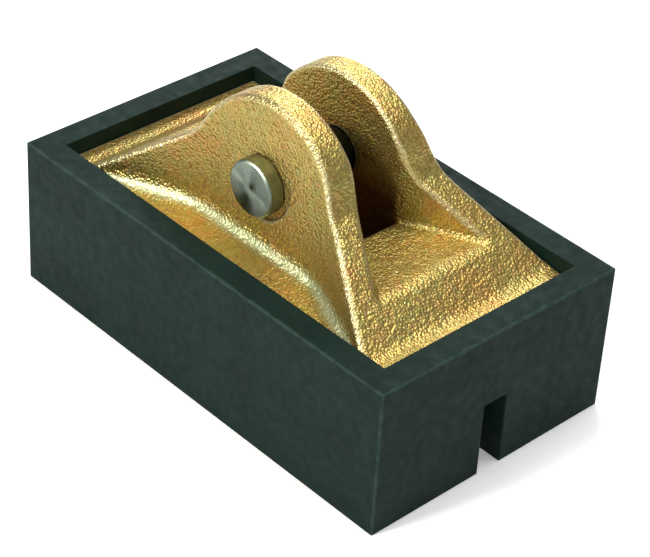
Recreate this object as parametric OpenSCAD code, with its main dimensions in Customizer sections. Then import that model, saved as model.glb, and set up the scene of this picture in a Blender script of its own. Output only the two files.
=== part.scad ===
// Rubber chock block with a cast clevis bracket let into its top and a cross pin.
// Origin: centre of the underside. +X along the block, +Y along the pin, +Z up. Millimetres.

/* [Rubber block] */
// Length of the block
block_length = 220; // [216:1:240]
// Width of the block
block_width = 130; // [128:1:150]
// Height of the block
block_height = 70; // [68:1:76]
// Thickness of the rim around the casting
rim_thickness = 12; // [10:0.5:13]
// Depth of the pocket that holds the casting
pocket_depth = 24; // [22:1:28]
// Width of the groove along the underside
groove_width = 12.5; // [8:0.5:18]
// Height of the groove
groove_height = 35; // [20:1:38]

/* [Clevis casting] */
// Gap between the casting and the pocket's walls
casting_clearance = 0.25; // [0.1:0.05:0.5]
// Depth of the flange's top below the rim's top
flange_drop = 6.5; // [5:0.5:10]
// Width of the clevis slot, which takes the arm
slot_width = 24; // [20:1:26]
// Thickness of each lug at the pin's height
lug_thickness = 17; // [14:0.5:19]
// Draft of the lugs' outer faces, in degrees
draft = 5.5; // [1:0.5:7]
// Radius of the lug's round head
head_radius = 41.5; // [39:0.5:44]
// Height of the head's centre above the rim's top
head_rise = 16.5; // [14:0.5:20]
// Slope of the ramp that climbs to the lugs, in degrees
ramp_angle = 36.5; // [34:0.5:38]
// Radius of the hollow between the ramp and the head
shoulder_radius = 9; // [5:0.5:14]
// Width of the bare flange at each end
toe_width = 10.5; // [8:0.5:14]
// Distance from the middle to where the outer walls flare
outer_waist = 37.5; // [36:0.5:41]
// Flare of the outer walls, in degrees
outer_flare = 23.5; // [18:0.5:25]
// Distance from the middle to where the slot's walls flare
inner_waist = 34; // [32:0.5:38]
// Flare of the slot's walls, in degrees
inner_flare = 27.5; // [24:0.5:30]
// Height of the slot's floor above the rim's top
floor_rise = 5.5; // [4:0.5:7]
// Radius about the pin that the slot leaves clear for the arm's end
relief_radius = 40; // [36:0.5:41]
// Depth of the slot's flat bottom below the rim's top
slot_depth = 15.5; // [13:0.5:17]

/* [Clevis pin] */
// Diameter of the pin's shank
pin_diameter = 20; // [18:0.5:21]
// Diameter of the pin's head
pin_head_diameter = 25; // [24:0.5:28]
// Length of the pin
pin_length = 72; // [68:1:80]
// Height of the pin's axis above the rim's top
pin_rise = 22; // [20:0.5:24]
// Radial running clearance of the pin in its bores
pin_clearance = 0.08; // [0.03:0.01:0.1]
// Chamfer at each end of the pin
pin_chamfer = 0.8; // [0.4:0.1:1.5]
// Diameter of the snap ring's wire
ring_wire = 1.6; // [1.2:0.1:2]
// Gap under the pin's head and between the washer and the snap ring
ring_gap = 0.35; // [0.3:0.05:0.6]
// Angle left open in the snap ring, in degrees
ring_opening = 34; // [20:1:60]
// Diameter of the thrust washer at the rear lug
thrust_diameter = 30; // [26:0.5:30.5]
// Thickness of the thrust washer
thrust_thickness = 2; // [1.5:0.1:2.5]
// Diameter of the spot faces on the lugs, for the pin's head and the thrust washer
spot_diameter = 31; // [31:0.5:34]
// Depth of the spot faces at the pin's height
spot_depth = 0.6; // [0.4:0.1:1.2]

/* [Fastening] */
// Diameter of the screws that hold the casting in the block
screw_diameter = 8; // [6:1:8]
// Length of a screw under its head
screw_length = 35; // [33:1:36]
// Spacing of the screws along the block
screw_spacing_x = 140; // [130:1:150]
// Spacing of the screws across the block
screw_spacing_y = 64; // [60:1:70]
// Height of the rubber between a washer and the casting
clamped_rubber = 20; // [18:1:21]
// Diameter of the counterbore for a screw's head
counterbore_diameter = 25; // [24:0.5:28]
// Outer diameter of the large flat washer
washer_diameter = 23; // [20:0.5:23.5]

/* [Hidden] */
$fn = 96;

past = 1;                       // how far a cut runs past the face it opens
far = 300;                      // size of a block that stands for a half-space
slip = 0.05;                    // clearance of a screw in its thread and of parts that nest

pocket_length = block_length - 2 * rim_thickness;
pocket_width = block_width - 2 * rim_thickness;
pocket_floor = block_height - pocket_depth;
flange_top = block_height - flange_drop;
casting_length = pocket_length - 2 * casting_clearance;
casting_width = pocket_width - 2 * casting_clearance;

ramp_foot = [pocket_length / 2 - toe_width, flange_top];
ramp_root = [ramp_foot[0], pocket_floor];
head_centre = [0, block_height + head_rise];
slot_floor = block_height + floor_rise;
pin_height = block_height + pin_rise;
pin_radius = pin_diameter / 2;
lug_face = slot_width / 2 + lug_thickness;
slot_bottom = block_height - slot_depth;

// The shoulder's circle touches the ramp's line and the head's circle from outside.
ramp_up = [-cos(ramp_angle), sin(ramp_angle)];
ramp_out = [sin(ramp_angle), cos(ramp_angle)];
shoulder_start = ramp_foot + shoulder_radius * ramp_out - head_centre;
shoulder_reach = head_radius + shoulder_radius;
shoulder_along = shoulder_start * ramp_up;
shoulder_travel = -shoulder_along
    - sqrt(shoulder_along ^ 2 - shoulder_start * shoulder_start + shoulder_reach ^ 2);
shoulder_centre = head_centre + shoulder_start + shoulder_travel * ramp_up;
ramp_tangent = shoulder_centre - shoulder_radius * ramp_out;
head_tangent = head_centre + (shoulder_centre - head_centre) * head_radius / shoulder_reach;

ring_radius = pin_radius;       // the wire's centre runs on the pin's surface
spot_face = lug_face - spot_depth;
thrust_face = spot_face + 2 * slip;
ring_offset = thrust_face + thrust_thickness + ring_gap + ring_wire / 2;

lock_thickness = 2;
washer_thickness = 2;
head_height = screw_diameter;
head_diameter = 1.625 * screw_diameter;
socket_flats = 0.75 * screw_diameter;
socket_depth = 0.5 * screw_diameter;
lock_diameter = 1.85 * screw_diameter;
thread_spare = 3;               // depth of the tapped hole past the screw's tip
washer_seat = pocket_floor - clamped_rubber;
lock_seat = washer_seat - washer_thickness;
head_seat = lock_seat - lock_thickness;

// One child on each of the four screws' axes.
module at_screws() {
    for (x = [-1, 1], y = [-1, 1])
        translate([x * screw_spacing_x / 2, y * screw_spacing_y / 2, 0]) children();
}

// Plan outline that is straight at the waist and flares towards both ends.
module flared_plan(half_width, waist, flare, reach) {
    end_width = half_width + (reach - waist) * tan(flare);
    polygon([[-waist, half_width], [waist, half_width], [reach, end_width], [reach, -end_width],
             [waist, -half_width], [-waist, -half_width], [-reach, -end_width], [-reach, end_width]]);
}

// Side outline of the lugs: a round head, hollow shoulders and a ramp down to each end.
module side_outline() {
    difference() {
        union() {
            translate(head_centre) circle(head_radius);
            polygon([ramp_root, ramp_foot, ramp_tangent, shoulder_centre, head_tangent, head_centre,
                     flip(head_tangent), flip(shoulder_centre), flip(ramp_tangent),
                     flip(ramp_foot), flip(ramp_root)]);
        }
        translate(shoulder_centre) circle(shoulder_radius);
        translate(flip(shoulder_centre)) circle(shoulder_radius);
        translate([-far / 2, pocket_floor - far]) square(far);
    }
}

function flip(point) = [-point[0], point[1]];

// All that lies outside one plane of an outer wall. The plane passes the waist at the pin's height,
// flares towards the given end (1, -1, or 0 for the straight middle) and leans in by the draft.
module beyond_plane(end) {
    flare = end == 0 ? 0 : outer_flare;
    mirror([end < 0 ? 1 : 0, 0, 0])
    translate([outer_waist, lug_face, pin_height])
    rotate([atan(tan(draft) * cos(flare)), 0, flare])
    translate([-far, 0, -far]) cube([2 * far, far, 2 * far]);
}

// The open space beside the lugs and ramps, on the +Y side.
module beyond_wall() {
    intersection() {
        beyond_plane(-1);
        beyond_plane(0);
        beyond_plane(1);
    }
}

// The lugs and ramps as one body, before the slot is cut.
module lug_body() {
    difference() {
        rotate([90, 0, 0]) linear_extrude(casting_width, center = true) side_outline();
        beyond_wall();
        mirror([0, 1, 0]) beyond_wall();
    }
}

// A cylinder along Y, centred on the pin's axis.
module across(radius, length) {
    translate([0, 0, pin_height]) rotate([90, 0, 0]) cylinder(r = radius, h = length, center = true);
}

module rubber_block() {
    color([0.13, 0.21, 0.19])
    difference() {
        translate([-block_length / 2, -block_width / 2, 0])
            cube([block_length, block_width, block_height]);
        translate([-pocket_length / 2, -pocket_width / 2, pocket_floor])
            cube([pocket_length, pocket_width, pocket_depth + past]);
        translate([-block_length / 2 - past, -groove_width / 2, -past])
            cube([block_length + 2 * past, groove_width, groove_height + past]);
        at_screws() {
            translate([0, 0, -past]) cylinder(d = screw_diameter + 1, h = pocket_floor + 2 * past);
            translate([0, 0, -past]) cylinder(d = counterbore_diameter, h = washer_seat + past);
        }
    }
}

module clevis_bracket() {
    color([0.76, 0.63, 0.30])
    difference() {
        union() {
            translate([-casting_length / 2, -casting_width / 2, pocket_floor])
                cube([casting_length, casting_width, flange_top - pocket_floor]);
            lug_body();
        }
        translate([0, 0, slot_floor])
            linear_extrude(head_centre[1] + head_radius)
                flared_plan(slot_width / 2, inner_waist, inner_flare, pocket_length / 2);
        intersection() {
            across(relief_radius, slot_width);
            translate([-far / 2, -far / 2, slot_bottom]) cube(far);
        }
        across(pin_radius + pin_clearance, far);
        for (side = [-1, 1])
            translate([0, side * (spot_face + far / 2), 0]) across(spot_diameter / 2, far);
        at_screws()
            translate([0, 0, pocket_floor - past])
                cylinder(d = screw_diameter + 2 * slip,
                         h = screw_length - clamped_rubber - washer_thickness - lock_thickness
                             + thread_spare + past);
    }
}

// Headed pin, put in from the front, with a groove for its snap ring at the rear.
module clevis_pin() {
    half = pin_length / 2;
    head = pin_head_diameter / 2;
    under_head = -spot_face - ring_gap;
    color([0.62, 0.64, 0.62])
    translate([0, 0, pin_height])
    rotate([-90, 0, 0])
    difference() {
        rotate_extrude()
            polygon([[0, -half], [head - pin_chamfer, -half], [head, -half + pin_chamfer],
                     [head, under_head], [pin_radius, under_head], [pin_radius, half - pin_chamfer],
                     [pin_radius - pin_chamfer, half], [0, half]]);
        translate([0, 0, ring_offset])
            difference() {
                cylinder(r = pin_radius + past, h = ring_wire + 2 * slip, center = true);
                cylinder(r = ring_radius - ring_wire / 2 - slip, h = ring_wire + 2 * past, center = true);
            }
    }
}

// Plain washer between the rear lug and the snap ring.
module thrust_washer() {
    color([0.66, 0.67, 0.68])
    translate([0, thrust_face, pin_height])
    rotate([-90, 0, 0])
    difference() {
        cylinder(d = thrust_diameter, h = thrust_thickness);
        translate([0, 0, -past])
            cylinder(r = pin_radius + 4 * slip, h = thrust_thickness + 2 * past);
    }
}

// Round-wire snap ring in its groove, with its opening turned downwards.
module snap_ring() {
    color([0.16, 0.15, 0.14])
    translate([0, ring_offset, pin_height])
    rotate([-90, 0, 0])
    rotate([0, 0, 90 + ring_opening / 2])
    rotate_extrude(angle = 360 - ring_opening)
        translate([ring_radius, 0]) circle(d = ring_wire);
}

// Socket head screws, pushed up from the underside into the casting.
module base_screws() {
    color([0.55, 0.56, 0.57])
    at_screws()
        difference() {
            union() {
                translate([0, 0, head_seat - head_height]) cylinder(d = head_diameter, h = head_height);
                translate([0, 0, head_seat]) cylinder(d = screw_diameter, h = screw_length);
            }
            translate([0, 0, head_seat - head_height - past])
                cylinder(d = socket_flats / cos(30), h = socket_depth + past, $fn = 6);
        }
}

module washer(outer, thickness) {
    difference() {
        cylinder(d = outer, h = thickness);
        translate([0, 0, -past]) cylinder(d = screw_diameter + 0.4, h = thickness + 2 * past);
    }
}

// Split spring washers under the screws' heads.
module lock_washers() {
    split = 1.2;                // width of the cut through the washer
    color([0.45, 0.46, 0.47])
    at_screws()
        translate([0, 0, head_seat])
            difference() {
                washer(lock_diameter, lock_thickness);
                translate([0, -split / 2, -past])
                    cube([lock_diameter, split, lock_thickness + 2 * past]);
            }
}

// Large flat washers that spread the screws' pull over the rubber.
module load_washers() {
    color([0.66, 0.67, 0.68])
    at_screws() translate([0, 0, lock_seat]) washer(washer_diameter, washer_thickness);
}

rubber_block();
clevis_bracket();
clevis_pin();
thrust_washer();
snap_ring();
base_screws();
lock_washers();
load_washers();
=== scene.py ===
"""The looks of a rubber chock block with a cast clevis bracket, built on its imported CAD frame.

Lengths are in millimetres, in the CAD's frame, and points go to Blender through MM.
"""

from itertools import product
from math import atan, cos, pi, radians, sin, tan

import bpy
import numpy as np
from mathutils import Matrix, Vector


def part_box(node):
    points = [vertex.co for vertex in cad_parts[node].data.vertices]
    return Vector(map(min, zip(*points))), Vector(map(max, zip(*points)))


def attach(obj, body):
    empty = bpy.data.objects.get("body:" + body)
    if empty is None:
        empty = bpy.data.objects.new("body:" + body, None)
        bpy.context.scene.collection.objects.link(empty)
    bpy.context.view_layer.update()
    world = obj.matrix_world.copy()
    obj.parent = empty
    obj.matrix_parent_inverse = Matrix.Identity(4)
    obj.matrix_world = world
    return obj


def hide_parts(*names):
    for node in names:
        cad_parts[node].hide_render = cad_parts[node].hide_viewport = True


MM = 0.001

# Camera, at the photograph's angle
CAMERA_AZIMUTH = 45.3
CAMERA_ELEVATION = 36.0
CAMERA_ROLL = 3.67
CAMERA_AIM = (12.4, -2.8, 40.1)
CAMERA_DISTANCE = 990.4
CAMERA_LENS = 131.4

# Casting: the CAD's shape
FLANGE_DROP = 6.5
TOE_WIDTH = 10.5
HEAD_RADIUS = 41.5
RAMP_ANGLE = radians(36.5)
SLOT_HALF = 12
LUG_FACE = 29
DRAFT = radians(5.5)
OUTER_WAIST = 37.5
OUTER_FLARE = radians(23.5)
INNER_WAIST = 34
INNER_FLARE = radians(27.5)
FLOOR_RISE = 5.5
RELIEF_RADIUS = 40
SLOT_DEPTH = 15.5
BORE_CLEARANCE = 0.08
SPOT_RADIUS = 15.5
SPOT_DEPTH = 0.6
TAPPED_RADIUS = 4.05
TAPPED_DEPTH = 14
WASHER_RADIUS = 11.5

# Casting: the radii of its edges and hollows, as a sand mould and some machining leave them
RIDGE_RADIUS = 2.4
SLOT_EDGE = 0.8 * RIDGE_RADIUS
RELIEF_EDGE = 1
BORE_EDGE = 0.8
SPOT_EDGE = 0.5
HOLE_EDGE = 0.3
SHOULDER_BLEND = 3
OUTER_FLARE_BLEND = 4
INNER_FLARE_BLEND = 2
ROOT_RADIUS = 7
ROOT_RUN = 25
TOE_RADIUS = 1.6
RIM_RADIUS = 1.6

# Casting: its mesh
CELL = 0.9
NEWTON_STEPS = 4
NEWTON_NUDGE = 0.05
FLATTEST_SLOPE = 0.25

# Pin
PIN_SEGMENTS = 160
SHANK_RADIUS = 10
UNDER_HEAD_GAP = 0.35
RING_GROOVE_SPARE = 0.04
PIN_CHAMFER = 0.8
PIP_RADIUS = 0.6
PIP_DEPTH = 0.15


def find_sizes():
    """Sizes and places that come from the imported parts, in millimetres."""
    rubber = [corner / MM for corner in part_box("rubber_block")]
    bracket = [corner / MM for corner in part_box("clevis_bracket")]
    pin = [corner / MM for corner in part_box("clevis_pin")]
    ring = [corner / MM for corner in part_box("snap_ring")]
    washers = [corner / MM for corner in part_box("load_washers")]
    return {
        "top": rubber[1].z,
        "block_half_length": rubber[1].x,
        "block_half_width": rubber[1].y,
        "half_length": bracket[1].x,
        "half_width": bracket[1].y,
        "low": bracket[0].z,
        "high": bracket[1].z,
        "pin_height": (pin[0].z + pin[1].z) / 2,
        "pin_head_radius": pin[1].x,
        "pin_half": pin[1].y,
        "ring_place": (ring[0].y + ring[1].y) / 2,
        "ring_radius": (ring[1].y - ring[0].y) / 2,
        "screw_x": washers[1].x - WASHER_RADIUS,
        "screw_y": washers[1].y - WASHER_RADIUS,
    }


# Fields: the distance of a point from a surface in millimetres, below zero inside the body

def join(a, b, radius):
    """Both bodies as one, with a fillet in the corner between them."""
    corner = np.hypot(np.maximum(radius - a, 0), np.maximum(radius - b, 0))
    return np.maximum(radius, np.minimum(a, b)) - corner


def keep_common(a, b, radius):
    """What lies in both bodies, with its edge rounded over."""
    return -join(-a, -b, radius)


def cut(a, b, radius):
    """The first body without the second one, with the edge rounded over."""
    return keep_common(a, -b, radius)


def side_profile(x, z, size):
    """The lugs seen from the side: a round head between two ramps."""
    head_height = size["high"] - HEAD_RADIUS
    head = np.hypot(x, z - head_height) - HEAD_RADIUS
    foot = size["half_length"] - TOE_WIDTH
    flange_top = size["top"] - FLANGE_DROP
    ramp = (abs(x) - foot) * sin(RAMP_ANGLE) + (z - flange_top) * cos(RAMP_ANGLE)
    ramp_top = head_height + HEAD_RADIUS / 2
    return join(head, np.maximum(ramp, z - ramp_top), SHOULDER_BLEND)


def outer_wall(x, y, z, size):
    """The lugs' outer face on either side: it leans in, and flares towards the ends of the ramps."""
    height = z - size["pin_height"]
    side = abs(y) - LUG_FACE
    waist = side * cos(DRAFT) + height * sin(DRAFT)
    lean = atan(tan(DRAFT) * cos(OUTER_FLARE))
    along = abs(x) - OUTER_WAIST
    flared = (side * cos(OUTER_FLARE) - along * sin(OUTER_FLARE)) * cos(lean) + height * sin(lean)
    return join(waist, flared, OUTER_FLARE_BLEND)


def slot(x, y, z, size):
    """The space between the lugs, which opens wider along the ramps."""
    side = abs(y) - SLOT_HALF
    flared = side * cos(INNER_FLARE) - (abs(x) - INNER_WAIST) * sin(INNER_FLARE)
    walls = join(side, flared, INNER_FLARE_BLEND)
    return keep_common(walls, size["top"] + FLOOR_RISE - z, RIDGE_RADIUS)


def relief(x, y, z, size):
    """The round hollow under the slot, where the arm's end turns."""
    hollow = np.hypot(x, z - size["pin_height"]) - RELIEF_RADIUS
    hollow = np.maximum(hollow, abs(y) - SLOT_HALF)
    return np.maximum(hollow, size["top"] - SLOT_DEPTH - z)


def lug_body(x, y, z, size):
    """Both lugs and their ramps as one body, before the slot is cut."""
    return keep_common(side_profile(x, z, size), outer_wall(x, y, z, size), RIDGE_RADIUS)


def root_fillet(x, size):
    """Radius of the fillet round the lugs' roots, which runs out towards the ends of the ramps."""
    foot = size["half_length"] - TOE_WIDTH
    blend = np.clip((foot - abs(x)) / ROOT_RUN, 0, 1)
    return TOE_RADIUS + (ROOT_RADIUS - TOE_RADIUS) * blend


def root_skin_and_highlight_share(points, size):
    """How near each point is to the middle of the fillet round the lugs' roots, from 0 to 1: the mask of
    its smoother skin and of a painted highlight on it.

    Points far inside both bodies, such as those of the underside and the bores, aren't on the fillet.
    """
    faint, full, buried = 0.32, 0.52, 0.9
    x, y, z = points.T
    radius = root_fillet(x, size)
    from_lugs = np.clip(1 - lug_body(x, y, z, size) / radius, 0, 1)
    from_flange = np.clip(1 - (z - size["top"] + FLANGE_DROP) / radius, 0, 1)
    closeness = from_lugs * from_flange
    share = np.clip((closeness - faint) / (full - faint), 0, 1)
    on_fillet = (closeness <= buried) & (radius > ROOT_RADIUS / 2)
    return share * on_fillet


def painted_shade_share(points, size):
    """How much painted shade each point gets, from 0 to 1: the hollow between the lugs, darker further
    below the pin.
    """
    x, y, z = points.T
    skin = 0.8
    hollow = (abs(y) < SLOT_HALF + skin) & (np.hypot(x, z - size["pin_height"]) < RELIEF_RADIUS + skin)
    return np.clip((size["pin_height"] - z) / SHANK_RADIUS, 0, 1) * hollow


def casting(x, y, z, size):
    """The whole casting."""
    flange = z - size["top"] + FLANGE_DROP
    body = join(lug_body(x, y, z, size), flange, root_fillet(x, size))
    rim = keep_common(abs(x) - size["half_length"], abs(y) - size["half_width"], RIM_RADIUS)
    body = keep_common(body, rim, RIM_RADIUS)
    body = np.maximum(body, size["low"] - z)
    body = cut(body, slot(x, y, z, size), SLOT_EDGE)
    body = cut(body, relief(x, y, z, size), RELIEF_EDGE)
    from_pin = np.hypot(x, z - size["pin_height"])
    body = cut(body, from_pin - SHANK_RADIUS - BORE_CLEARANCE, BORE_EDGE)
    spots = np.maximum(from_pin - SPOT_RADIUS, LUG_FACE - SPOT_DEPTH - abs(y))
    body = cut(body, spots, SPOT_EDGE)
    holes = np.hypot(abs(x) - size["screw_x"], abs(y) - size["screw_y"]) - TAPPED_RADIUS
    return cut(body, np.maximum(holes, z - size["low"] - TAPPED_DEPTH), HOLE_EDGE)


def net_of(values):
    """Surface net of a grid of field values: points in grid units, and quads wound outwards."""
    inside = values < 0
    cells = tuple(n - 1 for n in values.shape)
    total = np.zeros((*cells, 3), np.float32)
    count = np.zeros(cells, np.float32)
    crossings = []
    for axis in range(3):
        value = np.moveaxis(values, axis, 0)
        within = np.moveaxis(inside, axis, 0)
        crossed = within[1:] != within[:-1]
        step = np.where(crossed, value[:-1] - value[1:], 1)
        share = np.where(crossed, value[:-1] / step, 0)
        crossings.append((crossed, within[:-1]))
        near, far = [a for a in range(3) if a != axis]
        sums = np.moveaxis(total, axis, 0)
        counts = np.moveaxis(count, axis, 0)
        rows, columns = crossed.shape[1] - 1, crossed.shape[2] - 1
        for i, j in product((0, 1), repeat=2):
            part = (slice(None), slice(i, i + rows), slice(j, j + columns))
            sums[..., axis] += share[part]
            sums[..., near] += i * crossed[part]
            sums[..., far] += j * crossed[part]
            counts += crossed[part]
    used = count > 0
    number = np.full(cells, -1)
    number[used] = np.arange(used.sum())
    points = np.argwhere(used) + total[used] / count[used][:, None]
    quads = []
    for axis, (crossed, within) in enumerate(crossings):
        numbers = np.moveaxis(number, axis, 0)
        i, j, k = np.nonzero(crossed[:, 1:-1, 1:-1])
        loop = [numbers[i, j, k], numbers[i, j + 1, k], numbers[i, j + 1, k + 1], numbers[i, j, k + 1]]
        faces = np.stack(loop, axis=1)
        leaving = within[:, 1:-1, 1:-1][i, j, k]
        turned = leaving == (axis == 1)
        faces[turned] = faces[turned][:, ::-1]
        quads.append(faces)
    return points, np.concatenate(quads)


def draw_onto(points, field):
    """Points moved onto the field's surface by a few Newton steps."""
    for _ in range(NEWTON_STEPS):
        value = field(*points.T)
        slope = np.stack([
            field(*(points + step).T) - field(*(points - step).T) for step in NEWTON_NUDGE * np.eye(3)
        ], axis=1) / (2 * NEWTON_NUDGE)
        length = np.maximum((slope ** 2).sum(axis=1), FLATTEST_SLOPE)
        move = -slope * (value / length)[:, None]
        points = points + np.clip(move, -CELL / 2, CELL / 2)
    return points


def new_piece(name, points, faces, body, node, material):
    """A smooth piece from points in millimetres, which rides on a body and stands for a CAD node."""
    mesh = bpy.data.meshes.new(name)
    mesh.from_pydata((np.asarray(points) * MM).tolist(), [], np.asarray(faces).tolist())
    mesh.polygons.foreach_set("use_smooth", [True] * len(mesh.polygons))
    mesh.materials.append(material)
    piece = bpy.data.objects.new(name, mesh)
    bpy.context.scene.collection.objects.link(piece)
    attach(piece, body)
    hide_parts(node)
    return piece


def build_casting(size, material):
    """The casting, rounded as the sand mould leaves it."""
    def field(x, y, z):
        return casting(x, y, z, size)

    margin = 1.4 * CELL
    low = np.array([-size["half_length"], -size["half_width"], size["low"]]) - margin
    high = np.array([size["half_length"], size["half_width"], size["high"]]) + margin
    axes = [np.arange(a, b + CELL, CELL) for a, b in zip(low, high)]
    values = field(*np.meshgrid(*axes, indexing="ij"))
    points, quads = net_of(values)
    points = draw_onto(low + points * CELL, field)
    piece = new_piece("casting", points, quads, "block", "clevis_bracket", material)
    # Masks carried to the material: the root fillet's smoother skin and painted highlight, and painted
    # shade in the hollow under the pin.
    for name, share in (("root_skin_and_highlight", root_skin_and_highlight_share), ("painted_hollow_shade", painted_shade_share)):
        layer = piece.data.attributes.new(name, "FLOAT", "POINT")
        layer.data.foreach_set("value", share(points, size).astype(np.float32))
    return piece


def end_outline(radius, half, way):
    """The end of a turned bar, as (radius, place along the pin): a centre pip, a flat and a chamfer.

    It is worked out for the end at +half, and way is -1 for the other end.
    """
    soft = 0.15
    outline = [
        (0, half - PIP_DEPTH), (PIP_RADIUS - 0.1, half - 0.05), (PIP_RADIUS, half - 0.03),
        (PIP_RADIUS + 0.12, half), (radius * 0.4, half), (radius * 0.7, half),
        (radius - PIN_CHAMFER - soft, half), (radius - PIN_CHAMFER, half - soft / 3),
        (radius - soft / 3, half - PIN_CHAMFER), (radius, half - PIN_CHAMFER - soft),
    ]
    return [(distance, way * place) for distance, place in outline]


def pin_outline(size):
    """Half of the pin's section, as (radius, place along the pin), from its tail to its head."""
    half, place, wire = size["pin_half"], size["ring_place"], size["ring_radius"]
    under_head = SPOT_DEPTH - LUG_FACE - UNDER_HEAD_GAP
    head, shank, soft = size["pin_head_radius"], SHANK_RADIUS, 0.12
    rear, front = place + wire, place - wire
    slack = RING_GROOVE_SPARE
    groove = [
        (shank, rear + soft), (shank - soft, rear + slack), (shank - wire, rear + slack),
        (shank - wire, front - slack), (shank - soft, front - slack), (shank, front - soft),
    ]
    neck = [
        (shank, 0), (shank, under_head + soft), (shank + soft, under_head),
        (head - 2 * soft, under_head), (head, under_head - 2 * soft),
    ]
    return end_outline(shank, half, 1) + groove + neck + end_outline(head, half, -1)[::-1]


def build_pin(size, material):
    """The turned pin: its head, centre pips, chamfers and the groove for its snap ring."""
    outline = pin_outline(size)
    points = []
    for radius, place in outline:
        for step in range(PIN_SEGMENTS):
            turn = 2 * pi * step / PIN_SEGMENTS
            points.append((radius * cos(turn), place, size["pin_height"] + radius * sin(turn)))
    faces = []
    for ring in range(len(outline) - 1):
        for step in range(PIN_SEGMENTS):
            here, after = step, (step + 1) % PIN_SEGMENTS
            faces.append([
                ring * PIN_SEGMENTS + here, ring * PIN_SEGMENTS + after,
                (ring + 1) * PIN_SEGMENTS + after, (ring + 1) * PIN_SEGMENTS + here,
            ])
    piece = new_piece("pin", points, faces, "pin", "clevis_pin", material)
    weld = piece.modifiers.new("weld", "WELD")
    weld.merge_threshold = 0.001 * MM
    edges = piece.modifiers.new("edges", "WEIGHTED_NORMAL")
    edges.keep_sharp = True
    return piece


def soften_edges(node, width):
    """Rounds a CAD node's edges over without touching its mesh."""
    weld = node.modifiers.new("weld", "WELD")
    weld.merge_threshold = 0.001 * MM
    bevel = node.modifiers.new("bevel", "BEVEL")
    bevel.width = width * MM
    bevel.segments = 2
    bevel.limit_method = "ANGLE"
    bevel.angle_limit = radians(35)
    normals = node.modifiers.new("normals", "WEIGHTED_NORMAL")
    normals.keep_sharp = False
    node.data.polygons.foreach_set("use_smooth", [True] * len(node.data.polygons))


# Materials

def srgb(red, green, blue):
    """A colour given as it looks on the screen, from 0 to 255, as Blender's linear values."""
    parts = [value / 255 for value in (red, green, blue)]
    return (*[part / 12.92 if part < 0.04045 else ((part + 0.055) / 1.055) ** 2.4 for part in parts], 1)


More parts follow.
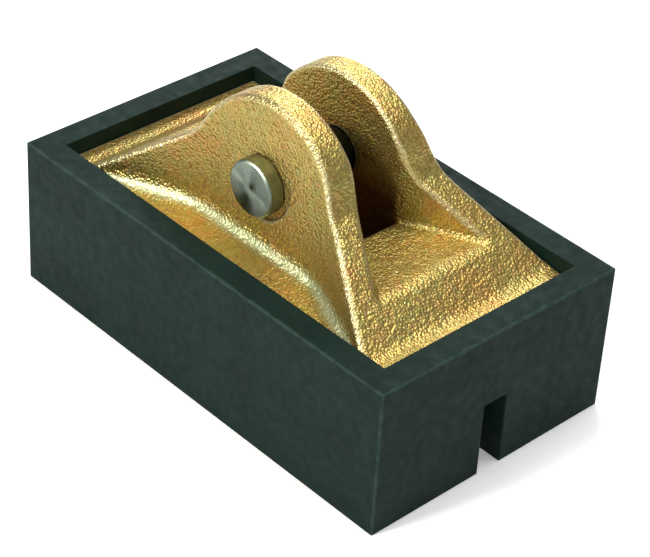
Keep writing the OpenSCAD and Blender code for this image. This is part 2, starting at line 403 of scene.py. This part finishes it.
class Recipe:
    """A material, with short names for making its nodes."""

    def __init__(self, name):
        self.material = bpy.data.materials.new(name)
        self.material.use_nodes = True
        self.tree = self.material.node_tree
        self.shader = self.tree.nodes["Principled BSDF"]
        self.place = self.tree.nodes.new("ShaderNodeTexCoord")

    def set(self, node, socket, value):
        """Gives a socket a value, or links another node's output to it."""
        if isinstance(value, bpy.types.NodeSocket):
            self.tree.links.new(value, node.inputs[socket])
        else:
            node.inputs[socket].default_value = value

    def finish(self, **sockets):
        """Sets the shader's own sockets, with underscores for the spaces in their names."""
        for name, value in sockets.items():
            self.set(self.shader, name.replace("_", " "), value)
        return self.material

    def noise(self, size, detail=4, roughness=0.55, distortion=0):
        """Noise with blots of about this size in millimetres."""
        node = self.tree.nodes.new("ShaderNodeTexNoise")
        self.set(node, "Scale", 1 / (size * MM))
        self.set(node, "Detail", detail)
        self.set(node, "Roughness", roughness)
        self.set(node, "Distortion", distortion)
        self.set(node, "Vector", self.place.outputs["Object"])
        return node.outputs["Fac"]

    def pits(self, size):
        """Distance from the middles of cells of about this size in millimetres."""
        node = self.tree.nodes.new("ShaderNodeTexVoronoi")
        self.set(node, "Scale", 1 / (size * MM))
        self.set(node, "Vector", self.place.outputs["Object"])
        return node.outputs["Distance"]

    def rings(self, pitch, centre, axis):
        """Fine turning marks round an axis through the centre."""
        moved = self.tree.nodes.new("ShaderNodeMapping")
        self.set(moved, "Vector", self.place.outputs["Object"])
        self.set(moved, "Location", [-value * MM for value in centre])
        node = self.tree.nodes.new("ShaderNodeTexWave")
        node.wave_type = "RINGS"
        node.rings_direction = axis
        self.set(node, "Vector", moved.outputs["Vector"])
        self.set(node, "Scale", pi / (10 * pitch * MM))
        self.set(node, "Distortion", 0.6)
        self.set(node, "Detail", 2)
        self.set(node, "Detail Scale", 1.5)
        return node.outputs["Fac"]

    def spread(self, value, low, high, to_low=0, to_high=1):
        """The value moved from one range to another, and held inside the second."""
        node = self.tree.nodes.new("ShaderNodeMapRange")
        for socket, number in zip(("Value", "From Min", "From Max", "To Min", "To Max"),
                                  (value, low, high, to_low, to_high)):
            self.set(node, socket, number)
        return node.outputs["Result"]

    def maths(self, operation, a, b=0.0):
        """One sum on one or two values."""
        node = self.tree.nodes.new("ShaderNodeMath")
        node.operation = operation
        self.set(node, 0, a)
        self.set(node, 1, b)
        return node.outputs[0]

    def mix(self, share, a, b):
        """Two colours mixed."""
        node = self.tree.nodes.new("ShaderNodeMixRGB")
        self.set(node, "Fac", share)
        self.set(node, "Color1", a)
        self.set(node, "Color2", b)
        return node.outputs["Color"]

    def colours(self, value, stops):
        """Colours along a value, from (place, colour) stops."""
        node = self.tree.nodes.new("ShaderNodeValToRGB")
        ramp = node.color_ramp
        while len(ramp.elements) < len(stops):
            ramp.elements.new(0.5)
        for element, (place, colour) in zip(ramp.elements, stops):
            element.position = place
            element.color = colour
        self.set(node, "Fac", value)
        return node.outputs["Color"]

    def bump(self, height, depth, strength=1.0, over=None):
        """Relief of about this depth in millimetres."""
        node = self.tree.nodes.new("ShaderNodeBump")
        self.set(node, "Height", height)
        self.set(node, "Distance", depth * MM)
        self.set(node, "Strength", strength)
        if over is not None:
            self.set(node, "Normal", over)
        return node.outputs["Normal"]

    def facing(self, axis):
        """How far the surface faces along an axis, from 0 to 1."""
        node = self.tree.nodes.new("ShaderNodeSeparateXYZ")
        self.set(node, "Vector", self.place.outputs["Normal"])
        return self.maths("ABSOLUTE", node.outputs[axis])

    def attribute(self, name):
        """A value that the mesh carries at each point."""
        node = self.tree.nodes.new("ShaderNodeAttribute")
        node.attribute_name = name
        return node.outputs["Fac"]

    def across(self, axis):
        """How far a point lies from the middle along an axis, in metres."""
        node = self.tree.nodes.new("ShaderNodeSeparateXYZ")
        self.set(node, "Vector", self.place.outputs["Object"])
        return self.maths("ABSOLUTE", node.outputs[axis])

    def edge_distance(self, size):
        """Distance in metres to the nearest outer edge of the block, except those of its underside."""
        height = self.tree.nodes.new("ShaderNodeSeparateXYZ")
        self.set(height, "Vector", self.place.outputs["Object"])
        ends = self.maths("SUBTRACT", size["block_half_length"] * MM, self.across("X"))
        sides = self.maths("SUBTRACT", size["block_half_width"] * MM, self.across("Y"))
        top = self.maths("SUBTRACT", size["top"] * MM, height.outputs["Z"])
        corner = self.maths("MAXIMUM", ends, sides)
        rim = self.maths("MAXIMUM", self.maths("MINIMUM", ends, sides), top)
        return self.maths("MINIMUM", corner, rim)

    def edge(self, low, high):
        """Goes from 0 on flat stretches to 1 on the sharpest convex edges."""
        node = self.tree.nodes.new("ShaderNodeNewGeometry")
        return self.spread(node.outputs["Pointiness"], low, high)


def rubber_material(size):
    """Moulded black-green rubber with a dull skin, fine mottling and a painted highlight along its outer
    edges.
    """
    recipe = Recipe("moulded_rubber")
    blots = recipe.noise(22, detail=5)
    speckle = recipe.noise(1.1, detail=3, roughness=0.7)
    colour = recipe.colours(blots, [
        (0.3, srgb(5, 24, 20)), (0.5, srgb(8, 30, 25)), (0.7, srgb(12, 35, 29)),
    ])
    colour = recipe.mix(recipe.spread(speckle, 0.35, 0.7, 0, 0.35), colour, srgb(26, 44, 36))
    # Painted highlight: a lighter green band along the block's outer edges, with a ragged inner border.
    highlight_ragging = recipe.maths("MULTIPLY", recipe.noise(4, detail=3), 2.4 * MM)
    painted_edge_highlight = recipe.spread(recipe.maths("SUBTRACT", recipe.edge_distance(size), highlight_ragging), 0, -0.9 * MM, 0, 0.7)
    colour = recipe.mix(painted_edge_highlight, colour, srgb(44, 66, 58))
    skin = recipe.bump(speckle, 0.12, 0.5)
    skin = recipe.bump(recipe.noise(7, detail=3), 0.35, 0.35, skin)
    return recipe.finish(
        Base_Color=colour, Normal=skin, Specular_IOR_Level=0.12,
        Roughness=recipe.spread(recipe.noise(5, detail=4), 0.3, 0.7, 0.55, 0.75),
    )


def casting_material():
    """Sand-cast iron with yellow zinc plate, which has a grain and a faint rainbow."""
    recipe = Recipe("yellow_zinc_casting")
    tint = recipe.noise(24, detail=4, distortion=0.5)
    colour = recipe.colours(tint, [
        (0.25, srgb(176, 172, 98)), (0.42, srgb(186, 168, 94)), (0.55, srgb(192, 166, 92)),
        (0.68, srgb(198, 158, 88)), (0.8, srgb(192, 154, 98)),
    ])
    sparkle = recipe.noise(0.8, detail=2, roughness=0.7)
    greens = recipe.maths("MULTIPLY", recipe.spread(recipe.noise(3, detail=4), 0.5, 0.7),
                          recipe.spread(sparkle, 0.4, 0.6))
    colour = recipe.mix(recipe.maths("MULTIPLY", greens, 0.6), colour, srgb(166, 190, 128))
    pinks = recipe.maths("MULTIPLY", recipe.spread(recipe.noise(3.7, detail=4), 0.5, 0.7),
                         recipe.spread(sparkle, 0.6, 0.4))
    colour = recipe.mix(recipe.maths("MULTIPLY", pinks, 0.6), colour, srgb(220, 146, 108))
    pebbles = recipe.pits(1.15)
    colour = recipe.mix(recipe.spread(pebbles, 0.45, 0.85, 0, 0.4), colour, srgb(132, 92, 46))
    # Painted highlight: near-white cream on the sharpest convex edges.
    colour = recipe.mix(recipe.edge(0.51, 0.57), colour, srgb(248, 238, 196))
    sides = recipe.spread(recipe.facing("Y"), 0.2, 0.8, 0.6, 1)
    # Pale green along the root fillet: partly its smoother, finer-grained skin, partly painted highlight.
    root_skin_and_highlight = recipe.attribute("root_skin_and_highlight")
    colour = recipe.mix(recipe.maths("MULTIPLY", root_skin_and_highlight, 0.6), colour, srgb(188, 212, 178))
    # Painted shade: dark brown in the hollow between the lugs, below the pin.
    colour = recipe.mix(recipe.maths("MULTIPLY", recipe.attribute("painted_hollow_shade"), 0.8), colour, srgb(96, 54, 30))
    grain = recipe.maths("MULTIPLY", recipe.spread(pebbles, 0.0, 1.0, 1, 0), sides)
    grain = recipe.maths("MULTIPLY", grain, recipe.spread(root_skin_and_highlight, 0, 1, 1, 0.35))
    skin = recipe.bump(recipe.noise(14, detail=2), 1.2, 0.35)
    skin = recipe.bump(recipe.noise(3.2, detail=2), 0.8, 0.6, skin)
    skin = recipe.bump(grain, 0.42, 1.0, skin)
    dull = recipe.spread(sparkle, 0.3, 0.7, 0.3, 0.48)
    dull = recipe.maths("ADD", dull, recipe.maths("MULTIPLY", root_skin_and_highlight, 0.1))
    return recipe.finish(Base_Color=colour, Metallic=0.9, Roughness=dull, Normal=skin,
                         Specular_IOR_Level=0.5)


def steel_material(name, shade, rough, mark_size, depth):
    """Plain steel with faint marks and stains."""
    recipe = Recipe(name)
    stain = recipe.noise(mark_size * 6, detail=4)
    dark = tuple(part * 0.7 for part in shade[:3]) + (1,)
    colour = recipe.mix(recipe.spread(stain, 0.35, 0.7), dark, shade)
    marks = recipe.noise(mark_size, detail=4)
    return recipe.finish(
        Base_Color=colour, Metallic=1.0, Normal=recipe.bump(marks, depth, 0.5),
        Roughness=recipe.spread(marks, 0.3, 0.7, rough * 0.8, rough * 1.2),
    )


def turned_material(size):
    """Turned steel, whose rings draw the light out into a cone, with painted shade on the shank between
    the lugs.
    """
    recipe = Recipe("turned_steel")
    centre = (0, 0, size["pin_height"])
    stain = recipe.noise(6, detail=4)
    colour = recipe.colours(stain, [
        (0.3, srgb(112, 125, 113)), (0.55, srgb(136, 148, 135)), (0.75, srgb(138, 140, 120)),
    ])
    # Painted shade: the shank between the lugs is darkened to near black.
    shank = recipe.spread(recipe.across("Y"), (SLOT_HALF + 1) * MM, SLOT_HALF * MM)
    colour = recipe.mix(shank, colour, srgb(34, 42, 40))
    ring_pitch = 0.45
    marks = recipe.rings(ring_pitch, centre, "Y")
    tangent = recipe.tree.nodes.new("ShaderNodeTangent")
    tangent.direction_type = "RADIAL"
    tangent.axis = "Y"
    return recipe.finish(
        Base_Color=colour, Metallic=1.0, Roughness=recipe.spread(stain, 0.3, 0.7, 0.28, 0.4),
        Anisotropic=0.9, Tangent=tangent.outputs["Tangent"],
        Normal=recipe.bump(marks, depth=0.02, strength=0.6),
    )


def dress_node(frame, node, material, bevel):
    """Gives a CAD node its material and softer edges."""
    piece = frame["nodes"][node]
    piece.data.materials.clear()
    piece.data.materials.append(material)
    for polygon in piece.data.polygons:
        polygon.material_index = 0
    if bevel:
        soften_edges(piece, bevel)


# Surroundings

def add_camera():
    """The camera, at the photograph's angle."""
    azimuth, elevation, roll = (radians(v) for v in (CAMERA_AZIMUTH, CAMERA_ELEVATION, CAMERA_ROLL))
    back = Vector((cos(elevation) * sin(azimuth), -cos(elevation) * cos(azimuth), sin(elevation)))
    level = Vector((cos(azimuth), sin(azimuth), 0))
    upright = back.cross(level)
    right = level * cos(roll) + upright * sin(roll)
    turn = Matrix((right, back.cross(right), back)).transposed().to_4x4()
    camera = bpy.data.objects.new("camera", bpy.data.cameras.new("camera"))
    camera.data.lens = CAMERA_LENS
    camera.data.sensor_width = 36
    camera.matrix_world = Matrix.Translation(MM * (Vector(CAMERA_AIM) + back * CAMERA_DISTANCE)) @ turn
    bpy.context.scene.collection.objects.link(camera)
    bpy.context.scene.camera = camera


def add_light(name, place, aim, width, watts, colour=(1, 1, 1)):
    """A square soft box at a place in millimetres, turned towards the aim."""
    light = bpy.data.lights.new(name, "AREA")
    light.size = width * MM
    light.energy = watts
    light.color = colour
    box = bpy.data.objects.new(name, light)
    box.location = Vector(place) * MM
    box.rotation_euler = (Vector(aim) - Vector(place)).to_track_quat("-Z", "Y").to_euler()
    bpy.context.scene.collection.objects.link(box)


def add_studio(size):
    """Soft boxes and a dim white surrounding."""
    middle = (0, 0, size["top"])
    add_light("key", (-250, -1150, 1150), middle, 350, 24, (1, 0.98, 0.94))
    add_light("top", (100, 300, 1500), middle, 700, 14)
    add_light("fill", (1300, -250, 700), middle, 500, 3.5, (0.94, 0.97, 1))
    add_light("rim", (-800, 800, 700), middle, 400, 7)
    world = bpy.data.worlds.new("studio")
    world.use_nodes = True
    background = world.node_tree.nodes["Background"]
    background.inputs["Color"].default_value = (1, 1, 1, 1)
    background.inputs["Strength"].default_value = 0.22
    bpy.context.scene.world = world


def add_floor():
    """A wide pale floor, a little brighter than its light makes it."""
    reach = 6000 * MM
    mesh = bpy.data.meshes.new("floor")
    corners = [(-reach, -reach, 0), (reach, -reach, 0), (reach, reach, 0), (-reach, reach, 0)]
    mesh.from_pydata(corners, [], [(0, 1, 2, 3)])
    recipe = Recipe("pale_floor")
    colour = recipe.mix(recipe.noise(400, detail=2), (0.9, 0.9, 0.9, 1), (0.93, 0.93, 0.93, 1))
    mesh.materials.append(recipe.finish(
        Base_Color=colour, Roughness=0.9, Emission_Color=(1, 1, 1, 1), Emission_Strength=0.2,
    ))
    floor = bpy.data.objects.new("floor", mesh)
    bpy.context.scene.collection.objects.link(floor)


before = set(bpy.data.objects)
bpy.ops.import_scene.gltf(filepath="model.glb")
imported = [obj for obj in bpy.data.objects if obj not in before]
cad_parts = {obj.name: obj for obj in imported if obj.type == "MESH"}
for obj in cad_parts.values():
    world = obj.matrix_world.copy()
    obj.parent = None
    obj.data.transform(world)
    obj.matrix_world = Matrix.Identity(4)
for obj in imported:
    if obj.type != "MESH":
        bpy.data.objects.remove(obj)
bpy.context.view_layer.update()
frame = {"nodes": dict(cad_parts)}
size = find_sizes()
bpy.context.scene.view_settings.view_transform = "Standard"

add_camera()
add_studio(size)
add_floor()

build_casting(size, casting_material())
build_pin(size, turned_material(size))
dress_node(frame, "rubber_block", rubber_material(size), 0.6)
spring_steel = steel_material("spring_steel", srgb(70, 66, 60), 0.35, 1.5, 0.02)
dress_node(frame, "snap_ring", spring_steel, 0)
zinc_steel = steel_material("zinc_steel", srgb(176, 182, 190), 0.32, 1.2, 0.03)
for node in ("thrust_washer", "base_screws", "lock_washers", "load_washers"):
    dress_node(frame, node, zinc_steel, 0.2)
